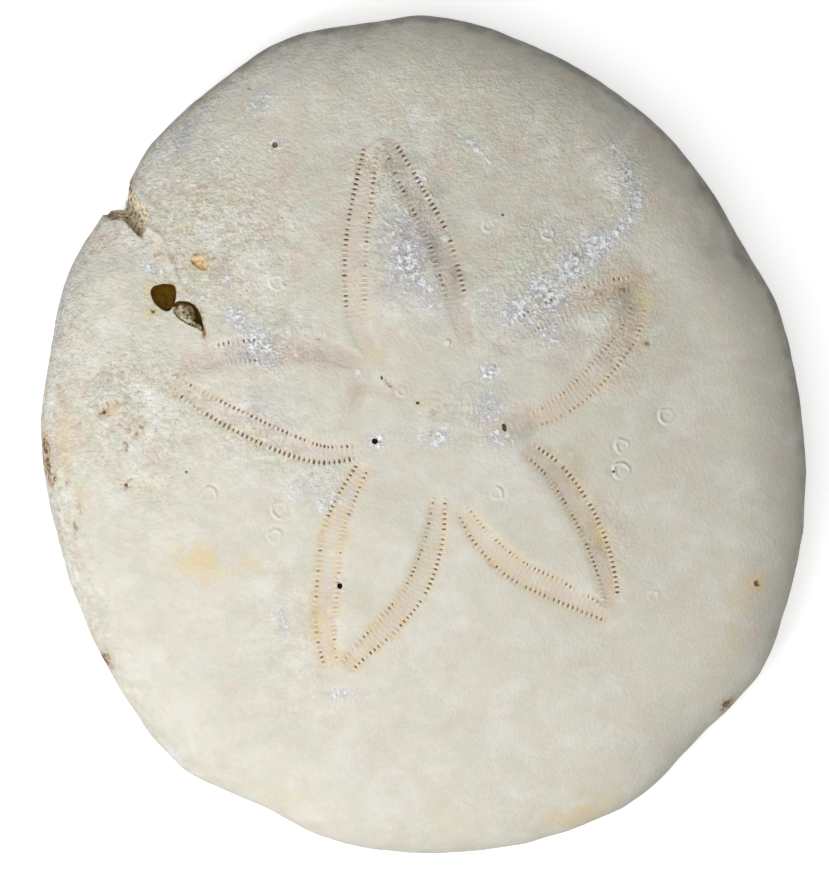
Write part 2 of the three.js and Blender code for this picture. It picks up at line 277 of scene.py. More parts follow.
blots = {
    "chalk": [
        (-19.4, 37.9, 1.3, 1.3, 0, 0.8), (-10.9, -19.8, 1.2, 1.2, 0, 0.5), (-29, 17.6, 0.5, 0.8, 0, 0.9),
        (16.5, 13.6, 2.2, 2.6, 0, 0.6), (-30.4, 17.8, 0.9, 0.4, -30, 0.8), (10, -0.4, 2, 1.6, 0, 0.6),
        (-1.8, 22, 3, 5, 25, 0.72), (-3.4, 28, 2.4, 3.2, 15, 0.42), (0.6, 17.8, 2.4, 2, 0, 0.6),
        (8, 16.8, 3.4, 2.4, 20, 0.45), (12.6, 16.4, 3, 2.8, 50, 0.8), (16.2, 18.6, 3.2, 3, 40, 1),
        (19.6, 22, 3.4, 1.9, 40, 1.1), (22.8, 24.6, 2.8, 1.6, 42, 1.1), (26.2, 27.3, 1.8, 1.3, 40, 1),
        (27.9, 30.4, 1.3, 2.2, -5, 0.95), (26.6, 34, 1.2, 2.4, 20, 0.9), (25, 37.2, 1.1, 1.8, 10, 0.75),
        (-24.4, 15.3, 1.2, 2.2, 35, 0.95), (-22, 11.8, 1.9, 3.2, 25, 1), (-19.4, 9.4, 1.6, 2.4, 30, 0.5),
        (-15.2, -6.9, 3.2, 1.5, 10, 0.6), (-18.3, -24.4, 1.2, 4, 12, 0.5), (-10.6, -33.9, 3.2, 0.9, 0, 0.6),
        (6.8, 37.6, 3.4, 0.4, -42, 0.95), (-20.8, 43.6, 3, 1.4, 30, 0.6), (-26.8, 36.4, 2, 2.8, -40, 0.45),
        (-6.3, -0.9, 1.5, 1.3, 0, 0.9), (9, 3.5, 3.2, 2.4, 20, 0.5), (-35.5, 21.6, 1.5, 1, 0, 0.85),
        (1.8, -0.4, 2.8, 1.4, 0, 0.7), (-13, -4.8, 2.6, 1.4, 0, 0.4), (-42, 5, 1.6, 1.1, 0, 0.7),
        (8.8, 8.3, 1.4, 1.4, 0, 0.9), (-0.4, 33.2, 1.8, 1, 50, 0.6), (16.4, 26.3, 1, 1, 0, 0.7),
        (-8.6, 8.3, 0.5, 0.4, 0, 1), (-12.2, -8.8, 2.2, 1.4, 20, 0.7), (-25.6, 20.4, 1.2, 1.6, 0, 0.5),
    ],
    "tan": [
        (-31, 18.6, 1.4, 0.7, -35, 1), (-28.3, 12.4, 0.6, 3, 0, 0.9), (-26.8, 19.6, 1.6, 1.2, 0, 0.6),
        (3.6, 23, 2, 3, 20, 0.4), (-36, 25, 1.3, 1.3, 0, 0.6), (-34.1, 18.2, 2.6, 2.4, 0, 0.7),
        (-30.8, 15.8, 2.6, 2, -30, 0.6), (-35, 25.8, 1.2, 1, 0, 0.5),
        (-9.5, 7, 6.5, 8, 0, 0.55), (25, 14, 5.5, 8, -20, 0.65), (13.5, 2.2, 6, 2.4, 25, 0.5),
        (-47, 2, 4, 9, 0, 0.5), (28, 20.4, 2.6, 2, 0, 0.9), (24, 20.6, 2.4, 1.4, 0, 0.8),
        (-37.6, 28.4, 1.4, 1.8, 0, 0.8), (-29.2, 22.8, 1.8, 1.3, -20, 0.6), (20, 30, 6, 4, 0, 0.35),
        (-30, 5, 6, 5, 0, 0.35), (-17, 34, 9, 6, 0, 0.25), (38, 30, 5, 8, 35, 0.4),
        (-7, -24, 5, 6, -40, 0.35), (-12.3, -21, 1.8, 8, 0, 0.6), (20.6, -7, 2.2, 8, 25, 0.7),
        (14, -17.6, 7, 1.8, -32, 0.45), (7, -34.5, 4, 1.3, 40, 0.3), (-6, -38, 4, 3, 0, 0.2),
    ],
    "golden": [
        (-29.8, -16.6, 3.4, 2.4, -15, 1), (-23.6, -17.2, 3, 1.8, -25, 0.5), (20.4, -49.6, 4.6, 2.2, 20, 0.9),
        (-6.6, 10, 3.2, 1.8, -40, 0.4), (28.8, 18.6, 2.2, 2.6, 0, 0.45), (41.5, -24, 3, 7, -10, 0.35),
        (-35.4, 15.8, 1.1, 0.9, 0, 1), (-36.2, 18.7, 0.6, 1.4, 0, 1), (-41.2, 3.4, 1.9, 1.1, 30, 0.8),
        (-47, -1.5, 2, 6, 0, 0.5), (43.6, -19.5, 1.4, 1.4, 0, 0.9), (-29.4, 22.6, 2, 1.3, -20, 0.9),
        (-0.6, 4.2, 0.9, 0.9, 0, 1), (-19.4, 37.9, 1.1, 1.1, 0, 0.8), (-14, -24, 1.2, 3, 0, 0.6),
        (23, -14, 1.4, 3.4, 15, 0.6), (-10.6, -30.4, 3, 1.6, 0, 0.5), (-38, -6.8, 2, 1, 0, 0.5),
        (-45.6, -7.4, 2, 1.4, 0, 0.5), (4, -50, 3, 3, 0, 0.3), (-18.4, -47.6, 7, 1.4, -18, 0.3),
        (-31.5, 27.2, 2.2, 0.8, 0, 0.5), (-25, 32, 3, 1.2, 10, 0.35), (-37.4, 28.6, 1, 2, 0, 0.7),
    ],
    # Dark brown spots: grime in pits and on the left rim, and painted shade in the notch, on its lower lip
    # and at the edges of the holes and pits
    "grimeAndShade": [
        (-49.6, -1.2, 0.5, 1, 0, 0.9), (-49.2, -4.6, 0.5, 0.9, 0, 0.9), (-38.2, 27.4, 0.5, 1.5, 35, 0.6),
        (-38.9, 30.2, 0.5, 0.7, 0, 0.6), (-36.9, 26.2, 0.4, 0.8, 30, 0.7), (-29.4, 16, 0.5, 1.4, 25, 0.8),
        (-45.6, -12.2, 0.3, 1, 10, 0.5), (-33, 19.8, 0.9, 0.2, 0, 0.5),
        (-49.4, -3.2, 0.6, 1.8, 0, 1), (-48.7, -6, 0.6, 0.9, 0, 0.8), (-41.7, 2.9, 0.9, 0.7, 30, 0.55),
        (-40.5, 3.9, 0.6, 0.5, 0, 0.5), (-44.3, 5.2, 0.5, 0.4, 30, 0.5), (-37.3, 0.3, 0.45, 1.6, -40, 0.6),
        (-38.8, -1.5, 0.5, 0.8, 0, 0.6), (-38.8, -6.6, 0.7, 0.7, 0, 0.55), (-41.5, -29.6, 0.6, 1.2, 30, 0.95),
        (39.9, -35.4, 1.2, 0.6, 45, 0.95), (43.6, -19.5, 0.45, 0.5, 0, 0.9),
        (-38.7, 32.4, 0.5, 1.4, -20, 0.9),
        (-34.6, 23.4, 0.8, 0.4, 10, 0.75), (-28.7, 13.4, 0.4, 1, 0, 0.8), (-35.4, 16.2, 0.4, 0.3, 0, 0.8),
        (-8.5, 50.5, 0.5, 0.4, 0, 0.8), (-22.4, 45.2, 0.5, 0.3, 40, 0.8), (-13.8, 12.6, 0.5, 0.3, 0, 0.7),
        (-46.6, -6.4, 0.4, 0.4, 0, 0.7), (-45, -9.8, 0.3, 1.2, 0, 0.6), (-40.9, 28.7, 1.2, 0.35, -25, 1),
        (-29.4, 23.6, 0.9, 0.2, 0, 0.9), (-4.4, 6.4, 0.9, 0.3, -40, 0.6), (1.4, 3, 0.6, 0.5, 0, 0.6),
        (29.2, 11.8, 0.6, 0.5, 0, 0.5), (26.4, 19.2, 1.8, 0.6, 10, 0.5), (23.4, 18.4, 1.4, 0.4, 0, 0.45),
    ],
    # Darker grey patches on the front right rim and in the front petal, with painted shade along the front
    # edge and on the notch's lower lip
    "darkPatchesAndShade": [
        (-1.5, 23, 3.4, 5, 20, 0.4), (41.2, 24.6, 0.8, 1, 0, 0.6), (-41.4, 28.6, 1.6, 0.5, -10, 0.6),
        (37.8, 32, 1.6, 2.6, 45, 0.8), (42.2, 23.6, 1.4, 3, 30, 0.8), (38, 24, 2.2, 3, 20, 0.25),
        (2.6, 30, 1.4, 4, 15, 0.4), (1, 24.5, 1.6, 3.4, 20, 0.45), (4.6, 20.6, 1.6, 2.6, 0, 0.5),
        (-13, 52, 12, 1.4, 12, 0.3), (26.6, 17, 1.8, 3, 0, 0.35), (12, 0, 3, 1.6, 20, 0.35),
        (17, -3.6, 4, 1.6, -42, 0.4), (23, -13.6, 1.5, 4, 12, 0.3), (-2, 36.5, 3, 2, 0, 0.3),
    ],
    "lilac": [
        (-20, 0.4, 5, 2.6, -20, 0.8), (-14.5, -3.2, 4, 2, -10, 0.7), (-9.8, -6.6, 1.8, 1.8, 0, 0.8),
        (-1.6, 23, 4.4, 7.6, 10, 1), (-32.5, 38.5, 2.6, 9, -42, 0.8), (-46.5, 18, 2.4, 9, -18, 0.8),
        (-20, 47, 6, 2.6, 25, 0.6), (15, 14, 6, 5, 20, 0.7), (8.5, 4.5, 5, 3.2, 30, 0.7),
        (-22, 12, 4, 5, 20, 0.8), (-20.5, 3.5, 5, 4, 10, 0.8), (-14.8, -7.6, 3.4, 2.4, 0, 0.6),
        (-36.6, 22, 2.4, 2.4, 0, 0.7), (26.4, 34, 2, 4, 0, 0.6), (20, 23, 5, 2.6, 40, 0.6),
        (-40, 23, 3, 4, 0, 0.5), (-38.6, 12, 4, 3, 0, 0.3), (0, 0, 5, 2, 0, 0.4),
    ],
    "coarse": [
        (-30, 26, 17, 16, 0, 1), (-38, 4, 12, 13, 0, 1), (-20, 12, 8, 6, 0, 0.9),
        (-25, 2, 9, 5, 0, 0.8), (-3, 26, 7, 11, 0, 0.9), (17, 21, 12, 9, 35, 0.9),
        (26, 33, 4, 7, 0, 0.8), (6, 3, 8, 4, 0, 0.6), (-17, -27, 6, 9, 0, 0.4),
        (24, -14, 3, 5, 0, 0.4), (0, 44, 26, 9, 0, 0.5), (25, 14, 5, 8, 0, 0.7),
        (-48, -6, 4, 6, 0, 0.8), (-37, -6, 8, 4, 0, 0.7), (-47, 14, 4, 12, -14, 1),
        (-5, 34, 6, 6, 0, 1), (-33, 39, 4, 9, -42, 0.9), (8, 38, 24, 9, 0, 0.55),
        (-22, 0, 9, 5, -20, 1), (-14.5, -6, 5, 3, 0, 0.9), (20, 46, 8, 5, -35, 0.5),
    ],
    "smooth": [  # calm places within the coarse ones
        (-6.5, 8.5, 5, 6.5, 0, 0.9), (-12, 5, 5, 4.5, 0, 0.7), (-32, 12, 4, 2.6, 0, 0.5),
        (-38, 20, 3, 4, 0, 0.6),
    ],
}


def blotField(name, x, y):
    field = np.zeros(len(x))
    for bx, by, wide, long, turn, strength in blots[name]:
        c, s = math.cos(math.radians(turn)), math.sin(math.radians(turn))
        u, v = (x - bx) * c + (y - by) * s, (y - by) * c - (x - bx) * s
        field = np.maximum(field, strength * np.exp(-(u / wide) ** 2 - (v / long) ** 2))
    return field


def coarseField(x, y):
    return np.clip(blotField("coarse", x, y) * (1 - blotField("smooth", x, y)) + 0.08, 0, 1)


def alongPath(path):
    return np.concatenate([[0], np.cumsum(np.linalg.norm(np.diff(path, axis=0), axis=1))])


apexX, apexY = testShape["apex"]
widestLevel = testShape["rimThickness"] / 2
domeHeight = (testHigh[2] - testLow[2]) / mm - testShape["rimThickness"] - poreRows["swell"]
outlinePath = smoothPath([(r * math.cos(math.radians(a)), r * math.sin(math.radians(a)))
                          for a, r in testShape["outline"]], closed=True)
rimAngles = np.arctan2(outlinePath[:, 1] - apexY, outlinePath[:, 0] - apexX)
rimRadii = np.hypot(outlinePath[:, 0] - apexX, outlinePath[:, 1] - apexY)
rimOrder = np.argsort(rimAngles)


def rimRadius(angle):
    return np.interp(angle, rimAngles[rimOrder], rimRadii[rimOrder], period=2 * math.pi)


def insetShare(x, y):  # 0 at the edge and 1 where the rim's shoulder ends, then the share of the radius
    radius = np.hypot(x - apexX, y - apexY)
    rim = rimRadius(np.arctan2(y - apexY, x - apexX))
    return np.clip((rim - radius) / testShape["shoulderWidth"], 0, 1), radius / rim


def plainHeight(x, y):
    inset, share = insetShare(x, y)
    curve = np.sqrt(1 - (1 - inset) ** 2)
    dome = domeHeight * (1 - np.minimum(share, 1) ** 2) ** 1.3
    return widestLevel * (1 + curve) + dome


# The pore rows as sampled paths, with the direction into the petal at each sample

rowPaths = []
for sides in petals.values():
    middle = np.mean([p for side in sides.values() for p in side["route"]], axis=0)
    for side in sides.values():
        path = smoothPath(side["route"])
        run = np.gradient(path, axis=0)
        run /= np.linalg.norm(run, axis=1)[:, None]
        inward = np.stack([-run[:, 1], run[:, 0]], axis=1)
        half = len(path) // 2
        if np.dot(inward[half], middle - path[half]) < 0:
            inward = -inward
        rowPaths.append({**side, "path": path, "run": run, "inward": inward, "along": alongPath(path)})


def sampleTree(paths):
    tree = kdtree.KDTree(sum(len(p) for p in paths))
    owners = []
    for number, path in enumerate(paths):
        for place, point in enumerate(path):
            tree.insert((point[0], point[1], 0), len(owners))
            owners.append((number, place))
    tree.balance()
    return tree, owners


rowTree, rowOwners = sampleTree([row["path"] for row in rowPaths])


# The nearest pore row: millimetres along it, millimetres across it into the petal, share of its length,
# and millimetres past its end
def rowField(x, y):
    along, across, share, past = (np.zeros(len(x)) for _ in range(4))
    for i, (px, py) in enumerate(zip(x, y)):
        number, place = rowOwners[rowTree.find((px, py, 0))[1]]
        row = rowPaths[number]
        offset = (px - row["path"][place][0], py - row["path"][place][1])
        along[i] = row["along"][place] + offset[0] * row["run"][place][0] + offset[1] * row["run"][place][1]
        across[i] = offset[0] * row["inward"][place][0] + offset[1] * row["inward"][place][1]
        share[i] = row["along"][place] / row["along"][-1]
        past[i] = max(-along[i], along[i] - row["along"][-1])
    return along, across, share, past


def rowGap(share):  # distance from the slits to the inner dots
    bow = np.sin(math.pi * np.clip(share, 0, 1)) ** 0.8
    return poreRows["gapEnds"] + (poreRows["gapMiddle"] - poreRows["gapEnds"]) * bow


def bandShare(across, share, past):  # 1 within the band between slits and inner row, 0 outside it
    gap = rowGap(share)
    return (smoothStep((across + 0.6) / 0.6) * smoothStep((gap + 0.7 - across) / 0.7)
            * smoothStep((0.6 - past) / 1.2))


crackPath = smoothPath(crack["route"])
crackAlong = alongPath(crackPath)
crackTree, crackOwners = sampleTree([crackPath])
crackRun = np.gradient(crackPath, axis=0)
crackRun /= np.linalg.norm(crackRun, axis=1)[:, None]


def crackField(x, y):  # distance from the crack, positive on the dropped side, and share along it
    away, share = np.full(len(x), 99.0), np.zeros(len(x))
    near = np.hypot(x + 33, y - 19) < 22
    for i in np.nonzero(near)[0]:
        place = crackOwners[crackTree.find((x[i], y[i], 0))[1]][1]
        dx, dy = x[i] - crackPath[place][0], y[i] - crackPath[place][1]
        side = 1 if dx * crackRun[place][1] - dy * crackRun[place][0] > 0 else -1
        away[i] = side * math.hypot(dx, dy)
        share[i] = crackAlong[place] / crackAlong[-1]
    return away, share


def crackLipHighlight(x, y):  # the step's lip, painted pale as a painted highlight
    away, share = crackField(x, y)
    return np.exp(-((away + 0.12) / 0.26) ** 2) * smoothStep((0.5 - share) / 0.2)


def crackRelief(x, y):
    away, share = crackField(x, y)
    end, length = crack["fades"]
    strength = smoothStep((end - share) / length)
    dropped = smoothStep((away + 0.1) / 0.26) * (1 - smoothStep(away / crack["reach"]))
    lip = np.exp(-((away + 0.25) / 0.32) ** 2)
    return strength * (lip * crack["lip"] - dropped * crack["drop"])


def rollField(x, y, name, share=1, stretch=(1, 1)):
    height, size, shift = rolls[name]
    return share * height * np.array([
        noise.noise((px / size * stretch[0] + shift, py / size * stretch[1], shift)) for px, py in zip(x, y)])


petalPlans = [np.concatenate([smoothPath(sides["left"]["route"]), smoothPath(sides["right"]["route"])[::-1]])
              for sides in petals.values()]


def insidePlan(plan, x, y):
    inside = np.zeros(len(x), bool)
    for (ax, ay), (bx, by) in zip(plan, np.roll(plan, -1, axis=0)):
        if ay != by:
            inside ^= ((ay > y) != (by > y)) & (x < ax + (y - ay) / (by - ay) * (bx - ax))
    return inside


def petalShare(x, y):  # 1 inside a petal, fading to 0 at its open end
    start, end = poreRows["openEnd"]
    inside = sum(insidePlan(plan, x, y) for plan in petalPlans) > 0
    return inside * smoothStep((np.hypot(x - apexX, y - apexY) - start) / (end - start))


def petalRelief(x, y):
    along, across, share, past = rowField(x, y)
    near = smoothStep((np.hypot(x - apexX, y - apexY) - 7) / 5)
    rise = poreRows["swell"] * smoothStep(np.abs(across) / poreRows["swellWidth"]) * petalShare(x, y)
    return rise - poreRows["furrow"] * bandShare(across, share, past) * near


def ringField(x, y, boss):  # distance from the ring's line, and how crisp it is there
    bx, by, width, strength, crisp = boss
    turn = np.arctan2(y - by, x - bx)
    wobble = 0.07 * np.sin(3 * turn + bx) + 0.04 * np.sin(5 * turn + by)
    away = np.hypot(x - bx, y - by) - width / 2 * (1 + wobble)
    return away, strength * (0.62 + 0.38 * np.cos(turn - math.radians(crisp)))


def bossShare(x, y):
    field = np.zeros(len(x))
    for boss in bossRings:
        away, crisp = ringField(x, y, boss)
        field = np.maximum(field, crisp * np.exp(-(away / 0.22) ** 2))
    for bx, by, width in bossKnobs:
        field = np.maximum(field, smoothStep(1.4 - np.hypot(x - bx, y - by) / width * 2))
    return field


def bossRelief(x, y):  # each worn boss is a low ring in a shallow moat
    relief = np.zeros(len(x))
    for boss in bossRings:
        away, crisp = ringField(x, y, boss)
        moat = 0.1 * np.exp(-((away - 0.4) / 0.22) ** 2) + 0.07 * np.exp(-((away + 0.4) / 0.26) ** 2)
        relief += crisp * (0.24 * np.exp(-(away / 0.18) ** 2) - 1.3 * moat)
    for bx, by, width in bossKnobs:
        relief += 0.2 * smoothStep(1.5 - np.hypot(x - bx, y - by) / width * 2)
    return relief


def surfaceHeight(x, y):
    x, y = np.atleast_1d(np.asarray(x, float)), np.atleast_1d(np.asarray(y, float))
    inset, share = insetShare(x, y)
    fade = smoothStep(inset * 1.4)
    relief = petalRelief(x, y) + crackRelief(x, y) + bossRelief(x, y)
    relief += rollField(x, y, "long") + rollField(x, y, "short")
    relief += rollField(x, y, "coarse", coarseField(x, y), coarseStretch)
    return plainHeight(x, y) + fade * relief


# Helpers for the mesh work

def setMode(mode):
    bpy.ops.object.mode_set(mode=mode)


def deselectAll():
    if bpy.context.object and bpy.context.object.mode != "OBJECT":
        setMode("OBJECT")
    bpy.ops.object.select_all(action="DESELECT")


def pick(piece):
    deselectAll()
    piece.select_set(True)
    bpy.context.view_layer.objects.active = piece


def selectFaces(piece, chosen):  # leaves the piece in edit mode with only these faces selected
    pick(piece)
    setMode("EDIT")
    bpy.ops.mesh.select_mode(type="FACE")
    bpy.ops.mesh.select_all(action="DESELECT")
    setMode("OBJECT")
    piece.data.polygons.foreach_set("select", chosen)
    setMode("EDIT")


def places(piece):
    coords = np.empty(len(piece.data.vertices) * 3)
    piece.data.vertices.foreach_get("co", coords)
    return coords.reshape(-1, 3) / mm


def setPlaces(piece, coords):
    piece.data.vertices.foreach_set("co", (np.asarray(coords) * mm).ravel())
    piece.data.update()


def meridianRings(piece):  # which ring of the first ball each point came from
    rings = np.empty(len(piece.data.vertices))
    piece.data.attributes["meridian"].data.foreach_get("value", rings)
    return rings


def joinAll(pieces):
    pick(pieces[0])
    for piece in pieces:
        piece.select_set(True)
    bpy.ops.object.join()
    return pieces[0]


def carve(body, cutter, operation="DIFFERENCE"):
    step = body.modifiers.new("carve", "BOOLEAN")
    step.object = cutter
    step.operation = operation
    step.solver = "MANIFOLD"
    step.material_mode = "TRANSFER"
    pick(body)
    bpy.ops.object.modifier_apply(modifier=step.name)
    bpy.data.objects.remove(cutter)


def roughen(piece, amount, size, shift, flat=False):
    coords = places(piece)
    for i, (x, y, z) in enumerate(coords):
        push = noise.noise_vector((x / size + shift, y / size, z / size))
        coords[i] += Vector((push.x, push.y, 0 if flat else push.z)) * amount
    setPlaces(piece, coords)


# Materials are made first, because the cutters carry the linings of what they cut. Scales in the
# noise are per metre.

def addNode(tree, kind, inputs=None, **settings):
    node = tree.nodes.new("ShaderNode" + kind)
    for name, value in settings.items():
        setattr(node, name, value)
    for name, value in (inputs or {}).items():
        if isinstance(value, bpy.types.NodeSocket):
            tree.links.new(value, node.inputs[name])
        else:
            node.inputs[name].default_value = value
    return node


def mixColour(tree, factor, first, second, blend="MIX"):
    node = addNode(tree, "Mix", {0: factor, 6: first, 7: second}, data_type="RGBA", blend_type=blend)
    return node.outputs[2]


def calculate(tree, operation, first, second=0.0):
    return addNode(tree, "Math", {0: first, 1: second}, operation=operation).outputs[0]


def times(tree, first, second):
    return calculate(tree, "MULTIPLY", first, second)


def ramp(tree, value, start, end, low=0.0, high=1.0, shape="LINEAR"):
    return addNode(tree, "MapRange", {"Value": value, "From Min": start, "From Max": end, "To Min": low,
                                      "To Max": high}, interpolation_type=shape).outputs[0]


def addNoise(tree, vector, scale, detail, roughness=0.5, distortion=0.0):
    return addNode(tree, "TexNoise", {"Vector": vector, "Scale": scale, "Detail": detail,
                                      "Roughness": roughness, "Distortion": distortion}).outputs[0]


def setBump(tree, shader, height, depth):
    bump = addNode(tree, "Bump", {"Height": height, "Distance": depth, "Strength": 1.0})
    tree.links.new(bump.outputs[0], shader.inputs["Normal"])


def newGroup(name, inputs, outputs):
    group = bpy.data.node_groups.new(name, "ShaderNodeTree")
    for label, kind, value in inputs:
        socket = group.interface.new_socket(label, in_out="INPUT", socket_type="NodeSocket" + kind)
        if value is not None:
            socket.default_value = value
    for label, kind in outputs:
        group.interface.new_socket(label, in_out="OUTPUT", socket_type="NodeSocket" + kind)
    return group, group.nodes.new("NodeGroupInput"), group.nodes.new("NodeGroupOutput")


def makeFleckGroup():  # irregular flecks or blotches, thinning out where the mask fades
    group, given, result = newGroup(
        "flecks",
        [("Vector", "Vector", None), ("Size", "Float", 1000.0), ("Detail", "Float", 3.0),
         ("From", "Float", 0.5), ("To", "Float", 0.6), ("Mask", "Float", 1.0)],
        [("Fleck", "Float")])
    vector, size, detail, start, full, area = (
        given.outputs[name] for name in ("Vector", "Size", "Detail", "From", "To", "Mask"))
    grain = addNoise(group, vector, size, detail, 0.62, 0.4)
    thin = ramp(group, area, 0.0, 1.0, -0.2, 0.0)
    cut = ramp(group, calculate(group, "ADD", grain, thin), start, full, shape="SMOOTHSTEP")
    soft = ramp(group, area, 0.0, 0.5)
    group.links.new(times(group, cut, soft), result.inputs["Fleck"])
    return group


def makeGrainGroup():  # weathered calcite: wrinkles, fine grain and pinpricks
    group, given, result = newGroup(
        "calcite grain",
        [("Vector", "Vector", None), ("Coarse", "Float", 0.5)],
        [("Height", "Float"), ("Mottle", "Float")])
    where, coarse = given.outputs["Vector"], given.outputs["Coarse"]
    flat = addNode(group, "Mapping", {"Vector": where, "Scale": (0.78, 1.12, 1.0)}).outputs[0]
    wrinkle = addNoise(group, flat, 1150.0, 5.0, 0.62, 0.5)
    fine = addNoise(group, where, 2600.0, 3.0, 0.6)
    grains = addNode(group, "TexVoronoi", {"Vector": where, "Scale": 2100.0, "Randomness": 1.0})
    bumps = calculate(group, "ADD", times(group, fine, 0.3), times(group, grains.outputs["Distance"], 0.25))
    height = calculate(group, "ADD", times(group, wrinkle, coarse),
                       times(group, bumps, ramp(group, coarse, 0.0, 1.0, 0.3, 1.0)))
    group.links.new(height, result.inputs["Height"])
    group.links.new(addNoise(group, flat, 520.0, 7.0, 0.72, 0.6), result.inputs["Mottle"])
    return group


fleckGroup = makeFleckGroup()
grainGroup = makeGrainGroup()


def newMaterial(name, roughness):
    material = bpy.data.materials.new(name)
    material.use_nodes = True
    tree = material.node_tree
    tree.nodes.clear()
    shader = addNode(tree, "BsdfPrincipled", {"Roughness": roughness, "Specular IOR Level": 0.3})
    output = addNode(tree, "OutputMaterial")
    tree.links.new(shader.outputs[0], output.inputs[0])
    return material, tree, shader


def mask(tree, name):
    return addNode(tree, "Attribute", attribute_name=name).outputs["Fac"]


def flecks(tree, vector, size, low, high, area, detail=3.0):
    return addNode(tree, "Group", {"Vector": vector, "Size": size, "From": low, "To": high, "Mask": area,
                                   "Detail": detail}, node_tree=fleckGroup).outputs["Fleck"]


# Colours are linear, and the depth of the grain is in metres.
surfaceLook = {
    "cream": (0.66, 0.63, 0.545, 1),
    # The stone shade is partly the test's greyer tone and partly painted shade on the side turned from the
    # key light.
    "stoneAndShade": (0.575, 0.552, 0.468, 1),
    "pinkish": (0.62, 0.505, 0.43, 1),
    "greenish": (0.55, 0.59, 0.465, 1),
    "pale": (0.75, 0.755, 0.72, 1),
    "tan": (0.54, 0.43, 0.305, 1),
    "golden": (0.69, 0.55, 0.285, 1),
    "rust": (0.50, 0.32, 0.16, 1),
    "lilac": (0.51, 0.505, 0.55, 1),
    "chalk": (0.90, 0.92, 0.94, 1),
    "speck": (0.27, 0.24, 0.205, 1),
    # The darkest brown lays grime and also painted shade in the notch and at the edges of holes and pits.
    "grimeAndShade": (0.17, 0.095, 0.04, 1),
    # This darker grey lays dark patches and painted shade on the rim's edge and in the notch.
    "darkPatchesAndShade": (0.25, 0.23, 0.21, 1),
    # slit is dark brown, partly the pores' stain and partly painted shade; ridge is a painted highlight
    # between slits, and pale grains in rough places.
    "slit": (0.30, 0.20, 0.12, 1),
    "ridge": (0.84, 0.80, 0.69, 1),
    "roughness": 0.7,
    "grainDepth": 0.0004,
}


# Tints laid over the cream, one after another: shade, which of two places in the noise, scale, noise
# where the flecks start and where they are full, mask, detail and strength
surfaceTints = {
    "ground": [
        ("pinkish", 0, 250, 0.46, 0.68, "all", 4, "blotchy"),
        ("greenish", 1, 280, 0.45, 0.66, "all", 4, "blotchy"),
        ("pale", 1, 170, 0.48, 0.7, "all", 5, "blotchy"), ("tan", 0, 260, 0.3, 0.62, "tan", 4, 0.75),
        ("pinkish", 0, 380, 0.25, 0.6, "band", 2, 0.55), ("lilac", 1, 300, 0.3, 0.66, "lilac", 5, 0.75),
        ("golden", 1, 260, 0.2, 0.62, "golden", 4, 0.75), ("golden", 0, 500, 0.2, 0.6, "stain", 3, 0.5),
        ("rust", 1, 700, 0.42, 0.7, "stain", 3, 0.4),
    ],
    "grains": [
        ("tan", 1, 900, 0.53, 0.66, "coarse", 4, 0.75), ("rust", 0, 1100, 0.63, 0.75, "coarse", 3, 0.75),
        ("speck", 0, 1900, 0.6, 0.72, "coarse", 2, 0.6), ("ridge", 1, 1300, 0.48, 0.64, "coarse", 4, 0.6),
        # Darker grey patches, with painted shade along the front right edge and in the notch
        ("darkPatchesAndShade", 0, 420, 0.1, 0.6, "darkPatchesAndShade", 5, 0.75),
    ],
    "crusts": [
        ("lilac", 0, 700, 0.3, 0.55, "chalk", 3, 0.5), ("chalk", 0, 1500, 0.36, 0.5, "chalk", 4, 0.95),
        # Rust and dark brown flecks: grime, and painted shade in the notch and at the edges of holes and pits
        ("speck", 1, 1500, 0.5, 0.62, "chalk", 3, 0.6), ("rust", 1, 1000, 0.25, 0.5, "grimeAndShade", 3, 0.75),
        ("grimeAndShade", 0, 1300, 0.36, 0.52, "grimeAndShade", 3, 0.95),
    ],
}


def paintSlitShadeAndRidgeHighlight(tree, where):  # dark brown at each slit, partly the pores' stain and partly painted shade, and a painted highlight on the ridges between, where pores were
    wave = calculate(tree, "COSINE", times(tree, mask(tree, "rowAlong"), 2 * math.pi / poreRows["pitch"]))
    fromMiddle = calculate(tree, "ABSOLUTE", calculate(tree, "SUBTRACT", mask(tree, "rowAcross"), 0.5))
    offRow = calculate(tree, "ABSOLUTE", calculate(tree, "SUBTRACT", fromMiddle, 0.5))
    onRow = times(tree, ramp(tree, offRow, 0.0, 0.27, 1.0, 0.0, "SMOOTHSTEP"), mask(tree, "pores"))
    onRow = times(tree, onRow, ramp(tree, addNoise(tree, where, 600.0, 2.0), 0.35, 0.6))
    slit = times(tree, ramp(tree, wave, -0.1, -0.9), onRow)
    ridge = times(tree, ramp(tree, wave, 0.1, 0.9), onRow)
    return wave, slit, ridge


